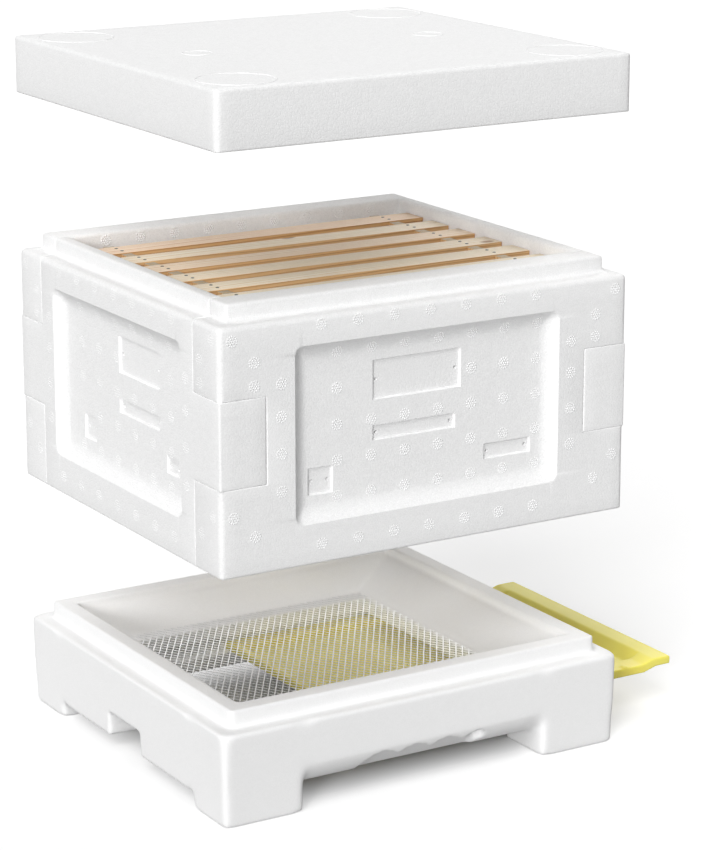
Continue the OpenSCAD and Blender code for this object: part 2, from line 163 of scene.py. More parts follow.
def planedPine(name, along, endGrain):
    # Planed pine: pale sapwood with tan growth lines along the grain, darker where the grain ends. Upright
    # faces get a darker amber, which is painted shade as in the gaps between the bars.
    material, tree, shader, place = newMaterial(name)
    s, axes = pineLook, "XYZ"

    def alongGrain(across, lengthways):  # a scale for each axis
        return [lengthways if axis == along else across for axis in range(3)]

    parts = addNode(tree, "ShaderNodeSeparateXYZ", {"Vector": place["Object"]})
    board = addNode(tree, "ShaderNodeMath", {0: parts.outputs["Y"], 1: s["pitch"]}, operation="DIVIDE")
    boardNumber = addNode(tree, "ShaderNodeMath", {0: board}, operation="FLOOR")
    luck = addNode(tree, "ShaderNodeTexWhiteNoise", {"W": boardNumber}, noise_dimensions="1D")
    shift = addNode(tree, "ShaderNodeVectorMath", {0: luck.outputs["Color"], 1: s["boardShift"]},
                    operation="MULTIPLY")
    sawn = addNode(tree, "ShaderNodeVectorMath", {0: place["Object"], 1: shift}, operation="ADD")
    fine = addNode(tree, "ShaderNodeMapping", {"Vector": sawn,
                   "Scale": alongGrain(1 / s["fibre"], 1 / s["streak"])})
    fibre = addNode(tree, "ShaderNodeTexNoise", {"Vector": fine, "Scale": 1.0, "Detail": 3.0})
    bend = addNode(tree, "ShaderNodeMapping", {"Vector": sawn,
                   "Scale": alongGrain(1 / s["waverAcross"], 1 / s["waverAlong"])})
    swirl = addNode(tree, "ShaderNodeTexNoise", {"Vector": bend, "Scale": 1.0, "Detail": 1.0})
    across = addNode(tree, "ShaderNodeSeparateXYZ", {"Vector": sawn})
    first, second = [across.outputs[axes[axis]] for axis in range(3) if axis != along]
    depth = addNode(tree, "ShaderNodeMath", {0: first, 1: second}, operation="ADD")
    count = addNode(tree, "ShaderNodeMath", {0: depth, 1: s["ring"]}, operation="DIVIDE")
    waver = addNode(tree, "ShaderNodeMath", {0: swirl, 1: s["waver"], 2: count}, operation="MULTIPLY_ADD")
    ring = addNode(tree, "ShaderNodeMath", {0: waver}, operation="FRACT")
    lateWood = addNode(tree, "ShaderNodeMapRange", {"Value": ring, "From Min": s["earlyShare"]},
                       interpolation_type="SMOOTHSTEP")
    blend = addNode(tree, "ShaderNodeMath", {0: fibre, 1: s["fibreShare"],
                    2: lateWood}, operation="MULTIPLY_ADD")
    share = addNode(tree, "ShaderNodeMath", {0: blend, 1: 1 + s["fibreShare"]}, operation="DIVIDE")
    pale = addNode(tree, "ShaderNodeValToRGB", {"Fac": share}, s["pale"])
    warm = addNode(tree, "ShaderNodeValToRGB", {"Fac": share}, s["warm"])
    boards = addNode(tree, "ShaderNodeMix", {"Factor": luck.outputs["Value"], "A": pale.outputs["Color"],
                     "B": warm.outputs["Color"]}, data_type="RGBA")
    spread = addNode(tree, "ShaderNodeMapping", {"Vector": sawn,
                     "Scale": alongGrain(1 / s["knotApart"], s["knotStretch"] / s["knotApart"])})
    knots = addNode(tree, "ShaderNodeTexVoronoi", {"Vector": spread, "Scale": 1.0})
    knot = addNode(tree, "ShaderNodeMapRange", {"Value": knots.outputs["Distance"],
                   "From Min": 0.5 * s["knotShare"], "From Max": s["knotShare"],
                   "To Min": s["knotDepth"], "To Max": 0.0})
    marked = addNode(tree, "ShaderNodeMix", {"Factor": knot, "A": boards.outputs["Result"],
                     "B": linear(s["knotTone"])}, data_type="RGBA")
    normal = addNode(tree, "ShaderNodeSeparateXYZ", {"Vector": place["Normal"]})
    facing = addNode(tree, "ShaderNodeMath", {0: normal.outputs[axes[along]]}, operation="ABSOLUTE")
    ended = addNode(tree, "ShaderNodeMath", {0: facing, 1: s["endOn"]}, operation="GREATER_THAN")
    pores = addNode(tree, "ShaderNodeValToRGB", {"Fac": fibre}, [(0.2, endGrain[0]), (0.8, endGrain[1])])
    # painted shade: upright faces are mixed towards darker amber, as if shaded between the bars
    level = addNode(tree, "ShaderNodeMath", {0: normal.outputs["Z"]}, operation="ABSOLUTE")
    sideShadeMix = addNode(tree, "ShaderNodeMapRange", {"Value": level, "From Min": s["upright"][0],
                     "From Max": s["upright"][1], "To Min": s["sideShadeShare"], "To Max": 0.0})
    sideShadeTones = addNode(tree, "ShaderNodeValToRGB", {"Fac": share}, s["sideShadeTones"])
    sides = addNode(tree, "ShaderNodeMix", {"Factor": sideShadeMix, "A": marked.outputs["Result"],
                    "B": sideShadeTones.outputs["Color"]}, data_type="RGBA")
    colour = addNode(tree, "ShaderNodeMix", {"Factor": ended, "A": sides.outputs["Result"],
                     "B": pores.outputs["Color"]}, data_type="RGBA")
    bump = addNode(tree, "ShaderNodeBump", {"Height": share, "Strength": s["reliefStrength"],
                   "Distance": s["relief"]})
    rough = addNode(tree, "ShaderNodeMapRange", {"Value": share, "To Min": s["rough"][0],
                    "To Max": s["rough"][1]})
    setInputs(tree, shader, {"Base Color": colour.outputs["Result"], "Roughness": rough,
                             "Normal": bump, "Specular IOR Level": s["gloss"]})
    return material


# Bright-drawn steel wire gone dull: dark grey metal with uneven gloss
steelLook = {
    "spot": 0.9 * mm,
    "detail": 3.0,
    "tones": [(0.3, "#3c403f"), (0.7, "#6a6f6d")],
    "rough": (0.3, 0.6),
    "metal": 1.0,
}
# Galvanised expanded sheet: pale grey zinc, a little cloudy, with soft highlights on each strand
zincLook = {
    "spot": 9 * mm,
    "detail": 4.0,
    "tones": [(0.25, "#e6e7e8"), (0.75, "#f5f5f6")],
    "rough": (0.4, 0.55),
    "metal": 0.35,             # a dull white bloom covers most of the zinc
}


def dulledMetal(name, s):
    material, tree, shader, place = newMaterial(name)
    spots = addNode(tree, "ShaderNodeTexNoise", {"Vector": place["Object"], "Scale": 1 / s["spot"],
                    "Detail": s["detail"]})
    colour = addNode(tree, "ShaderNodeValToRGB", {"Fac": spots}, s["tones"])
    rough = addNode(tree, "ShaderNodeMapRange", {"Value": spots, "To Min": s["rough"][0],
                    "To Max": s["rough"][1]})
    setInputs(tree, shader, {"Base Color": colour.outputs["Color"], "Roughness": rough,
                             "Metallic": s["metal"]})
    return material


plasticLook = {
    "grain": 0.8 * mm,
    "relief": 0.1 * mm,
    "reliefStrength": 0.5,
    "cloud": 40 * mm,
    "tones": [(0.3, "#f2e361"), (0.7, "#f7ea70")],
    "rough": (0.36, 0.52),
    "ior": 1.49,
    "glow": 0.5,               # share of the light that spreads in the thin sheet
    "glowTint": (1.0, 0.9, 0.35),
    "glowReach": 5 * mm,
}


def mouldedPolypropylene(name, s):
    # Injection-moulded polypropylene: waxy pale yellow with a soft sheen and a fine spark-eroded grain.
    material, tree, shader, place = newMaterial(name)
    grain = addNode(tree, "ShaderNodeTexNoise", {"Vector": place["Object"], "Scale": 1 / s["grain"],
                    "Detail": 2.0})
    cloud = addNode(tree, "ShaderNodeTexNoise", {"Vector": place["Object"], "Scale": 1 / s["cloud"]})
    colour = addNode(tree, "ShaderNodeValToRGB", {"Fac": cloud}, s["tones"])
    bump = addNode(tree, "ShaderNodeBump", {"Height": grain, "Strength": s["reliefStrength"],
                   "Distance": s["relief"]})
    rough = addNode(tree, "ShaderNodeMapRange", {"Value": grain, "To Min": s["rough"][0],
                    "To Max": s["rough"][1]})
    setInputs(tree, shader, {"Base Color": colour.outputs["Color"], "Roughness": rough,
                             "Normal": bump, "IOR": s["ior"], "Subsurface Weight": s["glow"],
                             "Subsurface Radius": s["glowTint"], "Subsurface Scale": s["glowReach"]})
    return material


boxFoam = expandedPolystyrene("expandedPolystyreneBeaded", beadRelief=0.07 * mm, gritRelief=0.1 * mm,
                              shade="#eaeaea", pale="#fafafa")
floorFoam = expandedPolystyrene("expandedPolystyreneSmooth", beadRelief=0.02 * mm, gritRelief=0.02 * mm,
                                shade="#f2f2f2", pale="#f8f8f8")
barPine = planedPine("planedPineBars", along=0, endGrain=("#d89a62", "#e6b483"))
sideBarPine = planedPine("planedPineSideBars", along=2, endGrain=("#a99a83", "#c2b298"))
nailSteel = dulledMetal("drawnSteel", steelLook)
meshSteel = dulledMetal("galvanisedSteel", zincLook)
drawerPlastic = mouldedPolypropylene("mouldedPolypropylene", plasticLook)
print("materials made:", len(bpy.data.materials))


# Ways to make and finish a piece

def newPiece(name, mesh, material):
    mesh.materials.clear()
    mesh.materials.append(material)
    piece = bpy.data.objects.new(name, mesh)
    scene.collection.objects.link(piece)
    return piece


def settle(piece, smoothAngle):  # turns the modifiers into plain mesh
    layer = bpy.context.evaluated_depsgraph_get()
    mesh = bpy.data.meshes.new_from_object(piece.evaluated_get(layer))
    piece.modifiers.clear()
    old = piece.data
    piece.data = mesh
    bpy.data.meshes.remove(old)
    mesh.name = piece.name
    mesh.shade_smooth()
    mesh.set_sharp_from_angle(angle=math.radians(smoothAngle))
    return piece


def hold(piece, body, slot, *nodes):
    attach(piece, body)
    if nodes:
        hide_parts(*nodes)


def carve(name, steps, extra=((), (), ()), clearance=1.2 * mm):
    # Skin of a block of cells. steps: True adds and False cuts, then low and high corner.
    # extra: more grid lines along x, y and z, left out where they crowd a line that a step needs.
    lines = []
    for axis in range(3):
        needed = sorted({round(corner[axis], 7) for _, low, high in steps for corner in (low, high)})
        spare = [v for v in extra[axis] if all(abs(v - n) > clearance for n in needed)]
        lines.append(np.array(sorted(set(needed) | {round(v, 7) for v in spare})))
    middles = [(line[1:] + line[:-1]) / 2 for line in lines]
    grid = np.meshgrid(*middles, indexing="ij")
    full = np.zeros(grid[0].shape, bool)
    for keep, low, high in steps:
        inside = np.ones(full.shape, bool)
        for axis in range(3):
            inside &= (grid[axis] > low[axis]) & (grid[axis] < high[axis])
        full[inside] = keep
    padded = np.pad(full, 1)
    corners = {}
    faces = []
    for axis in range(3):
        b, c = (axis + 1) % 3, (axis + 2) % 3
        for side in (0, 1):
            beyond = np.roll(padded, 1 - 2 * side, axis)[1:-1, 1:-1, 1:-1]
            for cell in np.argwhere(full & ~beyond):
                ring = []
                for u, v in ((0, 0), (1, 0), (1, 1), (0, 1)):
                    key = cell.copy()
                    key[axis] += side
                    key[b] += u
                    key[c] += v
                    ring.append(corners.setdefault(tuple(key), len(corners)))
                faces.append(ring if side else ring[::-1])
    points = [[lines[a][key[a]] for a in range(3)] for key in corners]
    mesh = bpy.data.meshes.new(name)
    mesh.from_pydata(points, [], faces)
    return mesh


def weighEdges(mesh, radiusAt, largest, sharp=0.5):  # sharp: least angle of an edge, in radians
    # radiusAt(middle, axis, convex) gives an edge's rounding
    work = bmesh.new()
    work.from_mesh(mesh)
    layer = work.edges.layers.float.new("bevel_weight_edge")
    for edge in work.edges:
        if len(edge.link_faces) == 2 and edge.calc_face_angle(0) > sharp:
            span = edge.verts[1].co - edge.verts[0].co
            axis = max(range(3), key=lambda a: abs(span[a]))
            middle = (edge.verts[0].co + edge.verts[1].co) / 2
            edge[layer] = min(1.0, radiusAt(middle, axis, edge.is_convex) / largest)
    work.to_mesh(mesh)
    work.free()


def roundEdges(piece, largest, segments=4):
    bevel = piece.modifiers.new("round", "BEVEL")
    bevel.limit_method = "WEIGHT"
    bevel.width = largest
    bevel.segments = segments
    bevel.use_clamp_overlap = False
    bevel.miter_outer = "MITER_SHARP"
    return bevel


def near(a, b):
    return abs(a - b) < 0.01 * mm


def solidCopy(name, node, weld=0.001 * mm, flat=0.5):  # welded copy of a CAD solid, flat faces joined
    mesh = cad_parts[node].data.copy()
    mesh.name = name
    work = bmesh.new()
    work.from_mesh(mesh)
    bmesh.ops.remove_doubles(work, verts=work.verts, dist=weld)
    bmesh.ops.dissolve_limit(work, angle_limit=math.radians(flat), verts=work.verts, edges=work.edges)
    work.to_mesh(mesh)
    work.free()
    return mesh


def pointMesh(name, places):  # places: point, the way it faces, size
    mesh = bpy.data.meshes.new(name)
    mesh.from_pydata([p for p, _, _ in places], [], [])
    facing = mesh.attributes.new("facing", "FLOAT_VECTOR", "POINT")
    facing.data.foreach_set("vector", [v for _, way, _ in places for v in way])
    size = mesh.attributes.new("size", "FLOAT", "POINT")
    size.data.foreach_set("value", [s for _, _, s in places])
    return mesh


def newTree(name, sizes):  # node tree with a named input for each size, and a material
    tree = bpy.data.node_groups.new(name, "GeometryNodeTree")
    tree.interface.new_socket("Geometry", in_out="INPUT", socket_type="NodeSocketGeometry")
    for size, value in sizes.items():
        kind = "NodeSocketInt" if isinstance(value, int) else "NodeSocketFloat"
        tree.interface.new_socket(size, in_out="INPUT", socket_type=kind).default_value = value
    tree.interface.new_socket("material", in_out="INPUT", socket_type="NodeSocketMaterial")
    tree.interface.new_socket("Geometry", in_out="OUTPUT", socket_type="NodeSocketGeometry")
    return tree, addNode(tree, "NodeGroupInput").outputs


def endTree(tree, geometry, given):
    real = addNode(tree, "GeometryNodeRealizeInstances", {"Geometry": geometry})
    painted = addNode(tree, "GeometryNodeSetMaterial", {"Geometry": real, "Material": given["material"]})
    addNode(tree, "NodeGroupOutput", {"Geometry": painted})


def grow(name, seed, tree, sizes, material, smoothAngle=40):  # runs a tree on a seed mesh, once
    piece = bpy.data.objects.new(name, seed)
    scene.collection.objects.link(piece)
    modifier = piece.modifiers.new("grow", "NODES")
    modifier.node_group = tree
    values = dict(sizes, material=material)
    for item in tree.interface.items_tree:
        if item.in_out == "INPUT" and item.name in values:
            modifier[item.identifier] = values[item.name]
    return settle(piece, smoothAngle)


def onPoints(tree, points, shape):  # copies of a shape on the seed's points, turned to face out
    way = addNode(tree, "GeometryNodeInputNamedAttribute", {"Name": "facing"}, data_type="FLOAT_VECTOR")
    turn = addNode(tree, "FunctionNodeAlignRotationToVector", {"Vector": way}, axis="Z")
    size = addNode(tree, "GeometryNodeInputNamedAttribute", {"Name": "size"}, data_type="FLOAT")
    return addNode(tree, "GeometryNodeInstanceOnPoints", {"Points": points, "Instance": shape,
                   "Rotation": turn, "Scale": size}).outputs[0]


# Camera: the photograph's viewing angle, fitted to the corners of the box

viewSettings = {
    "azimuth": -31.21,
    "elevation": 15.10,
    "distance": 2128 * mm,
    "lens": 126.0,             # on the 850-pixel side of a 36 mm sensor
    "right": 26.8 * mm,        # aim, from the middle of the box's underside
    "up": 46.9 * mm,
}
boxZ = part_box("box_front_wall")[0].z


def makeCamera(s):
    a, e = math.radians(s["azimuth"]), math.radians(s["elevation"])
    back = Vector((math.sin(a) * math.cos(e), -math.cos(a) * math.cos(e), math.sin(e)))
    right = Vector((math.cos(a), math.sin(a), 0))
    aim = Vector((0, 0, boxZ)) + right * s["right"] + back.cross(right) * s["up"]
    camera = bpy.data.objects.new("camera", bpy.data.cameras.new("camera"))
    camera.data.lens = s["lens"]
    camera.data.sensor_width = 36
    camera.location = aim + back * s["distance"]
    camera.rotation_euler = (-back).to_track_quat("-Z", "Y").to_euler()
    scene.collection.objects.link(camera)
    scene.camera = camera


makeCamera(viewSettings)
print("camera placed")


# Sizes that the foam pieces share, in the box's own frame: z from its underside

foam = {
    "halfW": 160 * mm,
    "halfD": 148 * mm,
    "wall": 35 * mm,
    "boxH": 168 * mm,
    "rimInset": 12 * mm,
    "rimH": 12 * mm,
    "seatGap": 0.5 * mm,
    "seatEdge": 3.2 * mm,      # rounding of a seat's lower edge, which clears the cove round the rim below
    "over": 1 * mm,
}
innerW = foam["halfW"] - foam["wall"]
innerD = foam["halfD"] - foam["wall"]
rimW = foam["halfW"] - foam["rimInset"]
rimD = foam["halfD"] - foam["rimInset"]
seatW = rimW + foam["seatGap"]
seatD = rimD + foam["seatGap"]
seatH = foam["rimH"] + foam["seatGap"]
rimTop = foam["boxH"] + foam["rimH"]
seatCut = (False, (-seatW, -seatD, -foam["over"]), (seatW, seatD, seatH))
slack = 0.1 * mm               # for tests of where an edge lies


# Lid: a plain slab with a seat below, softly rounded

lidLook = {
    "height": 40 * mm,
    "upright": 4.5 * mm,
    "top": 2.6 * mm,
    "bottom": 1.6 * mm,
    "inside": 2.0 * mm,
}


def lidRounding(middle, axis, convex):
    if not convex:
        return lidLook["inside"]
    if abs(middle.x) < seatW + slack and abs(middle.y) < seatD + slack:
        return foam["seatEdge"]
    if axis == 2:
        return lidLook["upright"]
    return lidLook["top"] if middle.z > lidLook["height"] / 2 else lidLook["bottom"]


def makeLid():
    block = (True, (-foam["halfW"], -foam["halfD"], 0), (foam["halfW"], foam["halfD"], lidLook["height"]))
    mesh = carve("lid_foam", [block, seatCut])
    weighEdges(mesh, lidRounding, lidLook["upright"])
    mesh.transform(Matrix.Translation((0, 0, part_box("lid")[0].z)))
    piece = newPiece("lid_foam", mesh, boxFoam)
    roundEdges(piece, lidLook["upright"])
    settle(piece, 30)
    hold(piece, "lid", "box_foam", "lid")


makeLid()
print("lid made")


# Mould marks on the lid: thin raised rings left by the ejectors

ringLook = {
    "large": 26 * mm,
    "small": 10.5 * mm,
    "line": 0.36 * mm,         # radius of the raised line
    "steps": 72,
    "lineSteps": 6,
    "largeAt": (127 * mm, 115 * mm),
    "smallAt": (92 * mm, 2 * mm),
}


def makeRings(s):
    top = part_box("lid")[1].z
    x, y = s["largeAt"]
    places = [((i * x, j * y, top), (0, 0, 1), 1.0) for i in (-1, 1) for j in (-1, 1)]
    x, y = s["smallAt"]
    places += [((i * x, y, top), (0, 0, 1), 0.0) for i in (-1, 1)]
    sizes = {"large": s["large"], "small": s["small"], "line": s["line"]}
    tree, given = newTree("mouldRings", sizes)
    profile = addNode(tree, "GeometryNodeCurvePrimitiveCircle", {"Resolution": s["lineSteps"],
                      "Radius": given["line"]})
    kind = addNode(tree, "GeometryNodeInputNamedAttribute", {"Name": "size"}, data_type="FLOAT")
    sets = []
    for radius, test in (("large", "GREATER_THAN"), ("small", "LESS_THAN")):
        line = addNode(tree, "GeometryNodeCurvePrimitiveCircle", {"Resolution": s["steps"],
                       "Radius": given[radius]})
        ring = addNode(tree, "GeometryNodeCurveToMesh", {"Curve": line, "Profile Curve": profile})
        chosen = addNode(tree, "FunctionNodeCompare", {"A": kind, "B": 0.5}, operation=test)
        copies = addNode(tree, "GeometryNodeInstanceOnPoints", {"Points": given["Geometry"],
                         "Instance": ring, "Selection": chosen})
        sets.append(copies.outputs[0])
    both = addNode(tree, "GeometryNodeJoinGeometry")
    for copies in sets:
        tree.links.new(copies, both.inputs[0])
    endTree(tree, both, given)
    piece = grow("lid_mould_rings", pointMesh("lid_mould_rings", places), tree, sizes, boxFoam)
    hold(piece, "lid", "box_foam")


makeRings(ringLook)
print("mould rings made")


# Walls of the box: finger-jointed slabs with a recessed panel and bare plates outside

wallLook = {
    "fingerLow": 60 * mm,
    "fingerHigh": 119 * mm,
    "ledgeIn": 137.5 * mm,     # where the ledge for the bars' lugs begins
    "ledgeZ": 162 * mm,
    "panelHalfLong": 104 * mm,
    "panelHalfSide": 95 * mm,
    "panelLow": 28 * mm,
    "panelHigh": 149 * mm,
    "panelDepth": 7 * mm,
    "panelSlope": 12.5 * mm,   # hollow, steep at its outer edge
    "hollow": 2.1,             # how fast the slope levels out
    "lipShare": 0.12,          # part of the slope that its steep edge takes
    "lipPower": 0.35,
    "panelCorner": 7 * mm,     # corner rounding of the panel's outline
    "plateDepth": 1.8 * mm,
    "plateEdge": 0.35 * mm,    # half the width of a plate's steep edge
    "pinHole": 1.3 * mm,       # radius of the two small pits in each plate
    "pinDepth": 2.4,           # their depth, in radii
    "pinInset": 3.2 * mm,
    "outer": 4.0 * mm,
    "lower": 2.1 * mm,         # outer edges below the seat's height
    "finger": 1.6 * mm,
    "seam": 0.8 * mm,
    "seamTop": 3.0 * mm,
    "rimTop": 2.6 * mm,
    "rimBase": 3.4 * mm,
    "plain": 1.5 * mm,
}
slopeShares = (0.0, 0.05, 0.12, 0.2, 0.3, 0.42, 0.55, 0.68, 0.8, 0.9, 1.0)
longWall = {
    "nodes": ("box_front_wall", "box_back_wall"),
    "sunk": 1,                 # axis that its panel is sunk along
    "face": foam["halfD"],
    "width": foam["halfW"],
    "half": wallLook["panelHalfLong"],
    # Bare plates, as shares of the panel: centre along it and up it, width and height
    "plates": [(-0.03, 0.24, 0.33, 0.22), (-0.04, -0.06, 0.31, 0.08),
               (0.32, -0.27, 0.18, 0.085), (-0.39, -0.28, 0.09, 0.15)],
    "dots": 1.0,               # the steam vents stand out unevenly from wall to wall
}
sideWall = {
    "nodes": ("box_left_wall", "box_right_wall"),
    "sunk": 0,
    "face": foam["halfW"],
    "width": foam["halfD"],
    "half": wallLook["panelHalfSide"],
    "plates": [(-0.12, 0.25, 0.31, 0.21), (-0.12, -0.05, 0.31, 0.08),
               (0.28, -0.27, 0.09, 0.14), (-0.37, -0.27, 0.09, 0.07)],
    "dots": 0.6,
}


def onWall(wall, along, across, up):  # point or direction on the front or left wall
    return Vector((along, across, up) if wall["sunk"] == 1 else (across, along, up))


def turnedWalls(wall):  # each node of a kind, with what puts it in its place
    for i, node in enumerate(wall["nodes"]):
        yield node, Matrix.Translation((0, 0, boxZ)) @ Matrix.Rotation(i * math.pi, 4, "Z")


def plateBoxes(wall):  # low and high corner of each plate on its panel, along and up
    low, high, half = wallLook["panelLow"], wallLook["panelHigh"], wall["half"]
    boxes = []
    for along, up, width, height in wall["plates"]:
        u, v = along * 2 * half, (low + high) / 2 + up * (high - low)
        w, h = width * half, height * (high - low) / 2
        boxes.append(((u - w, v - h), (u + w, v + h)))
    return boxes


def panelLines(wall):  # grid lines along and up, close together where the panel bends
    low, high, slope = wallLook["panelLow"], wallLook["panelHigh"], wallLook["panelSlope"]
    along = [side * (wall["half"] - slope * t) for side in (-1, 1) for t in slopeShares]
    up = [low + slope * t for t in slopeShares] + [high - slope * t for t in slopeShares]
    for corners in plateBoxes(wall):
        for u, v in corners:
            along += [u - wallLook["plateEdge"], u + wallLook["plateEdge"]]
            up += [v - wallLook["plateEdge"], v + wallLook["plateEdge"]]
    return along, up


def panelDepth(wall, u, v):  # how far the face is sunk at a point
    w = wallLook
    middle, rise = (w["panelLow"] + w["panelHigh"]) / 2, (w["panelHigh"] - w["panelLow"]) / 2
    r = w["panelCorner"]
    du, dv = abs(u) - wall["half"] + r, abs(v - middle) - rise + r
    inside = r - math.hypot(max(du, 0), max(dv, 0)) - min(max(du, dv), 0)
    t = min(max(inside / w["panelSlope"], 0), 1)
    depth = w["panelDepth"] * (1 - (1 - t) ** w["hollow"]) * min(1, t / w["lipShare"]) ** w["lipPower"]
    for (u0, v0), (u1, v1) in plateBoxes(wall):
        if u0 < u < u1 and v0 < v < v1:
            depth += w["plateDepth"]
    return depth


def pinPits(wall):  # two pits a plate, near its ends
    pits = []
    inset = wallLook["pinInset"]
    for (u0, v0), (u1, v1) in plateBoxes(wall):
        if u1 - u0 > v1 - v0:
            pits += [(u0 + inset, (v0 + v1) / 2), (u1 - inset, (v0 + v1) / 2)]
        else:
            pits += [(u0 + inset, v1 - inset), (u1 - inset, v0 + inset)]
    return pits


def plainRounding(z, axis, convex, outside):  # edges away from the finger joints
    w = wallLook
    if near(z, rimTop) or axis == 2 and z > foam["boxH"]:
        return w["rimTop"]
    if not convex:
        return w["rimBase"] if near(z, foam["boxH"]) else w["plain"]
    if outside:
        return w["outer"] if z > seatH else w["lower"]
    return foam["seatEdge"] if near(z, 0) else w["plain"]


def longRounding(middle, axis, convex):  # front wall, before it is turned
    w = wallLook
    x, y, z = abs(middle.x), middle.y, middle.z
    if x > innerW - slack and (near(z, w["fingerLow"]) or near(z, w["fingerHigh"])):
        return w["seam"]
    if axis != 0 and near(x, innerW) and w["fingerLow"] < z < w["fingerHigh"]:
        return w["seam"]
    if x > innerW - slack and near(y, -innerD) and z < foam["boxH"] + slack:
        return w["seamTop"] if axis == 0 and near(z, foam["boxH"]) else w["seam"]
    return plainRounding(z, axis, convex, near(y, -foam["halfD"]) or near(x, foam["halfW"]))


def sideRounding(middle, axis, convex):  # left wall, before it is turned
    x, y, z = middle.x, abs(middle.y), middle.z
    if y > innerD - slack:
        return wallLook["finger"] if near(y, foam["halfD"]) and axis == 2 else wallLook["seam"]
    return plainRounding(z, axis, convex, near(x, -foam["halfW"]))


def cutPits(piece, wall):
    work = bmesh.new()
    sunkTo = wallLook["panelDepth"] + wallLook["plateDepth"] - wall["face"]
    deep = Matrix.Scale(wallLook["pinDepth"], 4, onWall(wall, 0, -1, 0))
    for u, v in pinPits(wall):
        bmesh.ops.create_uvsphere(work, u_segments=14, v_segments=8, radius=wallLook["pinHole"],
                                  matrix=Matrix.Translation(onWall(wall, u, sunkTo, v)) @ deep)
    mesh = bpy.data.meshes.new("pits")
    work.to_mesh(mesh)
    work.free()
    cutter = newPiece("pits", mesh, boxFoam)
    piece.modifiers.new("pits", "BOOLEAN").object = cutter
    settle(piece, 30)
    bpy.data.objects.remove(cutter)


def makeWall(wall, steps, rounding):
    along, up = panelLines(wall)
    sunk, face = wall["sunk"], -wall["face"]
    for node, turned in turnedWalls(wall):
        mesh = carve(node + "_foam", steps, (along, (), up) if sunk == 1 else ((), along, up))
        weighEdges(mesh, rounding, wallLook["outer"])
        for point in mesh.vertices:
            if near(point.co[sunk], face):
                point.co[sunk] = face + panelDepth(wall, point.co[1 - sunk], point.co.z)
        piece = newPiece(node + "_foam", mesh, boxFoam)
        roundEdges(piece, wallLook["outer"])
        settle(piece, 30)
        cutPits(piece, wall)
        piece.data.transform(turned)
        hold(piece, "box", "box_foam", node)


def makeWalls():
    f, w = foam, wallLook
    over = f["over"]
    longSteps = [
        (True, (-f["halfW"], -f["halfD"], 0), (f["halfW"], -innerD, f["boxH"])),
        (True, (-rimW, -rimD, f["boxH"]), (rimW, -innerD, rimTop)),
    ]
    for low, high in ((innerW, f["halfW"] + over), (-f["halfW"] - over, -innerW)):
        longSteps.append((False, (low, -f["halfD"] - over, w["fingerLow"]),
                          (high, -innerD + over, w["fingerHigh"])))
    sideSteps = [
        (True, (-f["halfW"], -innerD, 0), (-innerW, innerD, f["boxH"])),
        (True, (-f["halfW"], -f["halfD"], w["fingerLow"]), (-innerW, f["halfD"], w["fingerHigh"])),
        (True, (-rimW, -innerD, f["boxH"]), (-innerW, innerD, rimTop)),
        (False, (-w["ledgeIn"], -innerD - over, w["ledgeZ"]), (-innerW + over, innerD + over, rimTop + over)),
    ]
    makeWall(longWall, longSteps + [seatCut], longRounding)
    makeWall(sideWall, sideSteps + [seatCut], sideRounding)


makeWalls()
print("walls made")


# Steam vents of the mould: small round clusters of raised dots all over the walls

ventLook = {
    "dot": 0.62 * mm,          # radius of one dot
    "flatness": 0.95,
    "rings": ((0.0, 1), (1.75 * mm, 6), (3.5 * mm, 12)),
    "columnPitch": 26.3 * mm,
    "columnShift": -2.5 * mm,  # the grid sits a little off the middle of the panel
    "rowFirst": 42 * mm,
    "rowPitch": 24.6 * mm,
    "rows": 5,
    "topRow": 162 * mm,
    "bottomRow": 13.7 * mm,
    "borderPitch": 28 * mm,
    "sideIn": 114 * mm,        # the columns beside the panel
    "sideRows": (53.5 * mm, 79 * mm, 104 * mm, 126 * mm),
    "cornerIn": (134 * mm, 150 * mm),
    "cornerRows": (142.5 * mm, 158.5 * mm, 127 * mm, 41 * mm, 26 * mm),
    "insideRow": 174 * mm,     # the row near the top of the inside faces
    "insidePitch": 27.7 * mm,
    "insideShift": -2.6 * mm,
    "insideSize": 1.3,
}


def wallMarks(wall):  # places of the marks on an outside face: along, up
    v, half, slope = ventLook, wall["half"], wallLook["panelSlope"]
    count = int((half - slope) // v["columnPitch"])
    columns = [v["columnShift"] + (i + 0.5) * v["columnPitch"] for i in range(-count - 1, count + 1)]
    rows = [v["rowFirst"] + k * v["rowPitch"] for k in range(v["rows"])]
    reach = max(r for r, _ in v["rings"])
    marks = []
    for u, z in [(u, z) for u in columns for z in rows]:
        clear = all(u < u0 - reach or u > u1 + reach or z < v0 - reach or z > v1 + reach
                    for (u0, v0), (u1, v1) in plateBoxes(wall))
        if clear and abs(u) < half - slope + reach / 2:
            marks.append((u, z))
    across = int(half // v["borderPitch"])
    for i in range(-across, across + 1):
        marks += [(i * v["borderPitch"], z) for z in (v["topRow"], v["bottomRow"])]
    edge = wall["width"] - foam["halfW"]     # the side faces are narrower, so their outer columns move in
    for side in (-1, 1):
        marks += [(side * (v["sideIn"] + edge), z) for z in v["sideRows"]]
        for i, z in enumerate(v["cornerRows"]):
            marks.append((side * (v["cornerIn"][i % 2] + edge), z))
    return marks


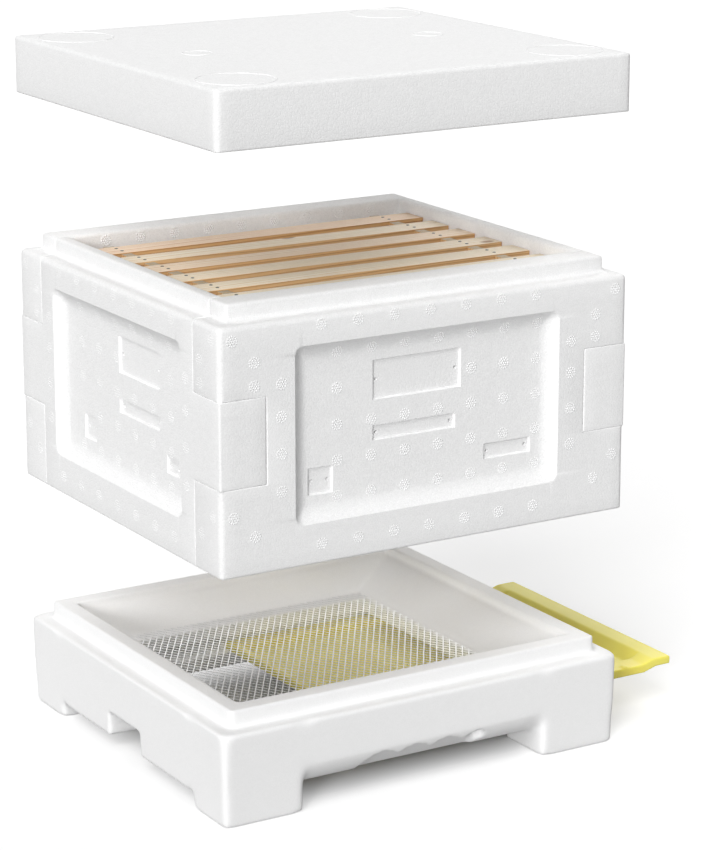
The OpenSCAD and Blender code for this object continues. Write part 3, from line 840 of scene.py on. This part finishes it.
def makeVents():
    v = ventLook
    dots = [(r * math.cos(2 * math.pi * i / n), r * math.sin(2 * math.pi * i / n))
            for r, n in v["rings"] for i in range(n)]
    count = int((innerW - v["insidePitch"] / 4) // v["insidePitch"])
    insideMarks = [i * v["insidePitch"] + v["insideShift"] for i in range(-count, count + 1)]
    places = []
    for wall in (longWall, sideWall):
        for _, turned in turnedWalls(wall):
            way = turned.to_3x3() @ onWall(wall, 0, -1, 0)
            for u, z in [(u + du, z + dz) for u, z in wallMarks(wall) for du, dz in dots]:
                at = onWall(wall, u, panelDepth(wall, u, z) - wall["face"], z)
                places.append((turned @ at, way, wall["dots"]))
            if wall is longWall:     # the side walls have none inside
                for u, z in [(u + du, v["insideRow"] + dz) for u in insideMarks for du, dz in dots]:
                    places.append((turned @ onWall(wall, u, -innerD, z), -way, v["insideSize"]))
    sizes = {"dot": v["dot"], "flatness": v["flatness"]}
    tree, given = newTree("steamVents", sizes)
    ball = addNode(tree, "GeometryNodeMeshIcoSphere", {"Radius": given["dot"], "Subdivisions": 1})
    flat = addNode(tree, "ShaderNodeCombineXYZ", {"X": 1.0, "Y": 1.0, "Z": given["flatness"]})
    dome = addNode(tree, "GeometryNodeTransform", {"Geometry": ball, "Scale": flat})
    endTree(tree, onPoints(tree, given["Geometry"], dome), given)
    piece = grow("box_vent_marks", pointMesh("box_vent_marks", places), tree, sizes, boxFoam)
    hold(piece, "box", "box_foam")
    print("vent dots:", len(places))


makeVents()


# Floor: the CAD solid, melted a little so that every edge is soft

floorLook = {
    "voxel": 1.3 * mm,
    "softening": 9,
    "kept": 0.2,               # share of the triangles kept where the surface is flat
    "footW": 63 * mm,
    "roll": 25 * mm,           # radius of the rolled edge between the feet
    "frontRise": 15 * mm,
    "footD": 48 * mm,
    "cove": 13 * mm,           # how far the roll's meeting with a foot is softened
    "corner": 9 * mm,          # and the upright corners
    "coveSteps": 60,
    "meshEdge": (102 * mm, 110 * mm),    # where the mesh goes into the foam
    "tuck": 5 * mm,
    "closed": (47.6 * mm, 51 * mm),      # heights between which the foam closes round the mesh's edge
    "passage": 25 * mm,        # half the width of the way in, which stays open
}


def addBox(work, low, high):
    middle = (Vector(low) + Vector(high)) / 2
    size = Vector(high) - Vector(low)
    bmesh.ops.create_cube(work, size=1, matrix=Matrix.Translation(middle) @ Matrix.Diagonal(size).to_4x4())


def melt(piece, s, coveAt=None):  # joins what overlaps and rounds every edge
    remesh = piece.modifiers.new("melt", "REMESH")
    remesh.mode = "VOXEL"
    remesh.voxel_size = s["voxel"]
    if coveAt:
        settle(piece, 60)
        group = piece.vertex_groups.new(name="cove")
        points = np.empty(3 * len(piece.data.vertices))
        piece.data.vertices.foreach_get("co", points)
        weights = coveAt(*points.reshape(-1, 3).T)
        for i in np.flatnonzero(weights > 0):
            group.add([int(i)], float(weights[i]), "REPLACE")
        cove = piece.modifiers.new("cove", "SMOOTH")
        cove.iterations = s["coveSteps"]
        cove.vertex_group = group.name
    piece.modifiers.new("soften", "SMOOTH").iterations = s["softening"]
    piece.modifiers.new("thin", "DECIMATE").ratio = s["kept"]
    settle(piece, 60)


def coveAt(x, y, z):  # 1 along the lines that are softened most, less beside them
    s = floorLook
    inward = foam["halfD"] - abs(y)
    beside = abs(x) - (foam["halfW"] - s["footW"])
    offRoll = np.hypot(s["roll"] - inward, s["frontRise"] + s["roll"] - z) - s["roll"]
    onRoll = (inward < s["roll"] + s["cove"]) & (z < s["frontRise"] + s["roll"])
    weight = np.clip(1 - np.hypot(beside, offRoll) / s["cove"], 0, 1) * onRoll
    outward = abs(x) - foam["halfW"]
    for across, along in ((outward, inward), (beside, inward), (outward, inward - s["footD"])):
        weight = np.maximum(weight, np.clip(1 - np.hypot(across, along) / s["corner"], 0, 1))
    return weight


def makeFloor(s):
    mesh = solidCopy("floor_foam", "floor_tray")
    work = bmesh.new()
    work.from_mesh(mesh)
    (x, y), t, (low, high) = s["meshEdge"], s["tuck"], s["closed"]
    addBox(work, (x, -y - t, low), (x + t, y + t, high))
    for side in (-1, 1):
        first, last = sorted((side * y, side * (y + t)))
        addBox(work, (-x - t, first, low), (x + t, last, high))
        first, last = sorted((side * s["passage"], side * (y + t)))
        addBox(work, (-x - t, first, low), (-x, last, high))
    work.to_mesh(mesh)
    work.free()
    piece = newPiece("floor_foam", mesh, floorFoam)
    melt(piece, s, coveAt)
    hold(piece, "floor", "floor_foam", "floor_tray")
    print("floor triangles:", len(piece.data.polygons))


makeFloor(floorLook)


# Mesh in the floor: expanded sheet, zigzag strands that meet their neighbours at each turn

meshLook = {
    "period": 5.6 * mm,
    "row": 4.3 * mm,           # from one strand to the next
    "width": 1.5 * mm,
    "thickness": 0.14 * mm,
    "tilt": 2.0,               # degrees that a strand stays turned after the sheet is rolled flat
}


def makeMesh(s):
    low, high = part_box("floor_mesh")
    rows = int((high.y - low.y - s["width"]) / s["row"])
    count = int((high.x - low.x) / (s["period"] / 2))
    middle = (low + high) / 2
    length = (count - 1) * s["period"] / 2
    places = []
    for k in range(rows):
        shift = (k % 2 - 0.5) * s["period"] / 2
        at = (middle.x - length / 2 + shift, middle.y + (k - (rows - 1) / 2) * s["row"], middle.z)
        places.append((at, (0, 0, 1), 1.0))
    sizes = {"count": count, "period": s["period"], "row": s["row"], "width": s["width"],
             "thickness": s["thickness"], "tilt": math.radians(s["tilt"])}
    tree, given = newTree("expandedSheet", sizes)
    halfPeriod = addNode(tree, "ShaderNodeMath", {0: given["period"], 1: 2.0}, operation="DIVIDE")
    step = addNode(tree, "ShaderNodeCombineXYZ", {"X": halfPeriod})
    line = addNode(tree, "GeometryNodeMeshLine", {"Count": given["count"], "Offset": step})
    index = addNode(tree, "GeometryNodeInputIndex")
    odd = addNode(tree, "ShaderNodeMath", {0: index, 1: 2.0}, operation="MODULO")
    swing = addNode(tree, "ShaderNodeMath", {0: odd, 1: 0.5}, operation="SUBTRACT")
    aside = addNode(tree, "ShaderNodeMath", {0: swing, 1: given["row"]}, operation="MULTIPLY")
    offset = addNode(tree, "ShaderNodeCombineXYZ", {"Y": aside})
    zigzag = addNode(tree, "GeometryNodeSetPosition", {"Geometry": line, "Offset": offset})
    path = addNode(tree, "GeometryNodeMeshToCurve", {"Mesh": zigzag})
    profile = addNode(tree, "GeometryNodeCurvePrimitiveQuadrilateral", {"Width": given["width"],
                      "Height": given["thickness"]})
    turn = addNode(tree, "ShaderNodeCombineXYZ", {"Z": given["tilt"]})
    tilted = addNode(tree, "GeometryNodeTransform", {"Geometry": profile, "Rotation": turn})
    strand = addNode(tree, "GeometryNodeCurveToMesh", {"Curve": path,
                     "Profile Curve": tilted, "Fill Caps": True})
    copies = addNode(tree, "GeometryNodeInstanceOnPoints", {"Points": given["Geometry"],
                     "Instance": strand})
    endTree(tree, copies, given)
    piece = grow("floor_mesh_strands", pointMesh("floor_mesh_strands", places), tree, sizes, meshSteel, 25)
    hold(piece, "floor", "mesh_metal", "floor_mesh")
    print("mesh strands:", rows, "faces:", len(piece.data.polygons))


makeMesh(meshLook)


# Drawer: a moulded sheet with rails, a ramp up to its flange and a turned-down edge

drawerLook = {
    "length": 249 * mm,        # tray without the flange
    "sheet": 2.2 * mm,
    "ramp": 10 * mm,
    "flange": 13 * mm,
    "rise": 9.5 * mm,
    "lip": 6.6 * mm,
    "shelf": 17 * mm,          # width of the raised rails along the sides
    "railW": 6 * mm,           # and of the one across the inner end
    "railH": 6.5 * mm,
    "nub": 2.3 * mm,           # radius of the stop on each rail
    "nubRise": 1.2 * mm,
    "nubBack": 17 * mm,        # from the stop to the end of its rail
    "voxel": 0.85 * mm,
    "softening": 7,
    "kept": 0.16,
}


def addPrism(work, outline, first, last):  # outline in x and z, drawn out along y
    ends = [[work.verts.new((x, y, z)) for x, z in outline] for y in (first, last)]
    work.faces.new(ends[0])
    work.faces.new(ends[1][::-1])
    for i in range(len(outline)):
        j = (i + 1) % len(outline)
        work.faces.new((ends[0][j], ends[0][i], ends[1][i], ends[1][j]))


def makeDrawer(s):
    low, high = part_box("drawer")
    end, flat, top, t = s["length"], s["length"] - s["ramp"], s["rise"], s["sheet"]
    outer, under = end + s["flange"], top - s["lip"]
    sheet = [(0, 0), (flat, 0), (end, top - t), (outer - t, top - t), (outer - t, under), (outer, under),
             (outer, top), (end - t, top), (flat - t, t), (0, t)]
    rail = [(0, 0), (flat, 0), (end, top - t), (end - t, top), (flat - t, s["railH"]), (0, s["railH"])]
    cap = [(flat - t, 0), (flat, 0), (end, under), (outer, under), (outer, top), (end - t, top),
           (flat - t, s["railH"])]
    work = bmesh.new()
    for outline, first, last in ((sheet, low.y, high.y), (rail, low.y, low.y + s["shelf"]),
                                 (rail, high.y - s["shelf"], high.y), (cap, low.y, low.y + t),
                                 (cap, high.y - t, high.y)):
        addPrism(work, [(low.x + x, low.z + z) for x, z in outline], first, last)
    for y in (low.y + s["railW"] / 2, high.y - s["railW"] / 2):
        place = Vector((low.x + flat - s["nubBack"], y, low.z + s["railH"]))
        bmesh.ops.create_cone(work, cap_ends=True, segments=24, radius1=s["nub"], radius2=s["nub"],
                              depth=2 * s["nubRise"], matrix=Matrix.Translation(place))
    addBox(work, (low.x, low.y, low.z), (low.x + s["railW"], high.y, low.z + s["railH"]))
    bmesh.ops.recalc_face_normals(work, faces=work.faces)
    mesh = bpy.data.meshes.new("drawer_tray")
    work.to_mesh(mesh)
    work.free()
    piece = newPiece("drawer_tray", mesh, drawerPlastic)
    melt(piece, s)
    hold(piece, "drawer", "drawer_plastic", "drawer")
    print("drawer triangles:", len(piece.data.polygons))


makeDrawer(drawerLook)


# Frames: wooden bars with eased edges, held by domed nails

barLook = {
    "count": 6,
    "eased": 0.6 * mm,
    "spacerH": 62 * mm,        # the wide part of a side bar, below the top bar
    "sideW": 25 * mm,
    "wood": 0.1 * mm,          # room round the top bar between its cheeks
}
nailLook = {
    "shank": 0.8 * mm,         # radii
    "head": 1.3 * mm,
    "dome": 0.4 * mm,
    "length": 24 * mm,
    "apart": 9 * mm,
}


def makeBar(node, body, steps, material):
    mesh = carve(node + "_pine", steps)
    weighEdges(mesh, lambda middle, axis, convex: barLook["eased"] if convex else 0, barLook["eased"])
    piece = newPiece(node + "_pine", mesh, material)
    roundEdges(piece, barLook["eased"], 2)
    settle(piece, 30)
    hold(piece, body, "pine", node)


def nailTree(sizes):
    tree, given = newTree("nails", sizes)
    shank = addNode(tree, "GeometryNodeMeshCylinder", {"Vertices": 10, "Radius": given["shank"],
                    "Depth": given["length"]})
    half = addNode(tree, "ShaderNodeMath", {0: given["length"], 1: -0.5}, operation="MULTIPLY")
    down = addNode(tree, "ShaderNodeCombineXYZ", {"Z": half})
    driven = addNode(tree, "GeometryNodeTransform", {"Geometry": shank, "Translation": down})
    ball = addNode(tree, "GeometryNodeMeshUVSphere", {"Segments": 14, "Rings": 7, "Radius": given["head"]})
    flat = addNode(tree, "ShaderNodeMath", {0: given["dome"], 1: given["head"]}, operation="DIVIDE")
    shape = addNode(tree, "ShaderNodeCombineXYZ", {"X": 1.0, "Y": 1.0, "Z": flat})
    head = addNode(tree, "GeometryNodeTransform", {"Geometry": ball, "Scale": shape})
    nail = addNode(tree, "GeometryNodeJoinGeometry")
    tree.links.new(driven.outputs[0], nail.inputs[0])
    tree.links.new(head.outputs[0], nail.inputs[0])
    endTree(tree, onPoints(tree, given["Geometry"], nail), given)
    return tree


def makeFrames():
    b, n = barLook, nailLook
    sizes = {name: n[name] for name in ("shank", "head", "dome", "length")}
    tree = nailTree(sizes)
    for number in range(1, b["count"] + 1):
        body = f"frame_{number}"
        topLow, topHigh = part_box(body + "_top_bar")
        bottomLow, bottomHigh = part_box(body + "_bottom_bar")
        makeBar(body + "_top_bar", body, [(True, topLow, topHigh)], barPine)
        makeBar(body + "_bottom_bar", body, [(True, bottomLow, bottomHigh)], barPine)
        middle = (topLow.y + topHigh.y) / 2
        places = []
        for side in ("left", "right"):
            node = f"{body}_{side}_side_bar"
            low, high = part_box(node)
            spacer = topLow.z - b["spacerH"]
            steps = [
                (True, (low.x, low.y, spacer), high),
                (True, (low.x, middle - b["sideW"] / 2, low.z), (high.x, middle + b["sideW"] / 2, spacer)),
                (False, (low.x, topLow.y - b["wood"], topLow.z), (high.x, topHigh.y + b["wood"], topHigh.z)),
            ]
            makeBar(node, body, steps, sideBarPine)
            x = (low.x + high.x) / 2
            for offset in (-0.5, 0.5):
                places.append(((x, middle + offset * n["apart"], topHigh.z), (0, 0, 1), 1.0))
            places.append(((x, middle, bottomLow.z), (0, 0, -1), 1.0))
        name = body + "_wire_nails"
        piece = grow(name, pointMesh(name, places), tree, sizes, nailSteel)
        hold(piece, body, "nail_steel", body + "_nails")


makeFrames()
print("frames made")


# Studio: white floor with a painted shadow under the object, white surroundings, a soft key light, a lamp
# behind and a low one from the left front

studio = {
    "floorHalf": 6.0,
    "floorDrop": 0.2 * mm,
    "floorTone": "#cccccc",
    "bounce": 0.65,            # share of its light that the floor throws back at the object
    "floorLift": 0.55,         # added where the camera sees the open floor, so that it reads as white
    "paintedShadowReach": 60 * mm,      # the lift fades out this far in under the object, painting a shadow under its footprint
    "surround": 0.22,
    # Lamps: power, spread in degrees, where the light comes from
    "key": (1.5, 35.0, (-0.3, -0.24, 0.4)),
    "back": (1.1, 40.0, (0.25, 0.18, 0.25)),
    "low": (1.72, 15.0, (-0.24, -0.22, 0.09)),   # reaches in under the lifted box and lid
}


def shownRays(tree):  # light path, and 1 on rays that show the studio: seen, mirrored or through glass
    path = addNode(tree, "ShaderNodeLightPath").outputs
    seen = addNode(tree, "ShaderNodeMath", {0: path["Is Camera Ray"], 1: path["Is Glossy Ray"]},
                   operation="MAXIMUM")
    shown = addNode(tree, "ShaderNodeMath", {0: seen, 1: path["Is Transmission Ray"]}, operation="MAXIMUM")
    return path, shown


def makeStudio(s):
    half, z = s["floorHalf"], -s["floorDrop"]
    mesh = bpy.data.meshes.new("studioFloor")
    corners = [(x * half, y * half, z) for x, y in ((-1, -1), (1, -1), (1, 1), (-1, 1))]
    mesh.from_pydata(corners, [], [(0, 1, 2, 3)])
    material, tree, shader, place = newMaterial("paperFloor")
    path, shown = shownRays(tree)
    # painted shadow: the lift is withheld under the object's footprint, so the floor there stays dark as if
    # shaded
    parts = addNode(tree, "ShaderNodeSeparateXYZ", {"Vector": place["Object"]})
    beyond = []
    for axis, reach in (("X", foam["halfW"]), ("Y", foam["halfD"])):
        away = addNode(tree, "ShaderNodeMath", {0: parts.outputs[axis]}, operation="ABSOLUTE")
        beyond.append(addNode(tree, "ShaderNodeMath", {0: away, 1: reach}, operation="SUBTRACT"))
    outside = addNode(tree, "ShaderNodeMath", {0: beyond[0], 1: beyond[1]}, operation="MAXIMUM")
    lifted = addNode(tree, "ShaderNodeMapRange", {"Value": outside, "From Min": -s["paintedShadowReach"],
                     "From Max": 0.0, "To Max": s["floorLift"]}, interpolation_type="SMOOTHSTEP")
    lift = addNode(tree, "ShaderNodeMath", {0: shown, 1: lifted}, operation="MULTIPLY")
    tone = linear(s["floorTone"])
    dimmed = [s["bounce"] * channel for channel in tone[:3]] + [1.0]
    colour = addNode(tree, "ShaderNodeMix", {"Factor": path["Is Diffuse Ray"], "A": tone, "B": dimmed},
                     data_type="RGBA")
    setInputs(tree, shader, {"Base Color": colour.outputs["Result"], "Roughness": 1.0,
                             "Specular IOR Level": 0.0, "Emission Color": (1, 1, 1, 1),
                             "Emission Strength": lift})
    newPiece("studioFloor", mesh, material)
    world = bpy.data.worlds.new("studio")
    world.use_nodes = True
    scene.world = world
    tree = world.node_tree
    _, shown = shownRays(tree)
    strength = addNode(tree, "ShaderNodeMapRange", {"Value": shown, "To Min": s["surround"], "To Max": 1.0})
    setInputs(tree, tree.nodes["Background"], {"Color": (1, 1, 1, 1), "Strength": strength})
    for name in ("key", "back", "low"):
        power, spread, source = s[name]
        lamp = bpy.data.objects.new(name, bpy.data.lights.new(name, "SUN"))
        lamp.data.energy = power
        lamp.data.angle = math.radians(spread)
        lamp.rotation_euler = (-Vector(source)).to_track_quat("-Z", "Y").to_euler()
        scene.collection.objects.link(lamp)


makeStudio(studio)
print("studio lit")
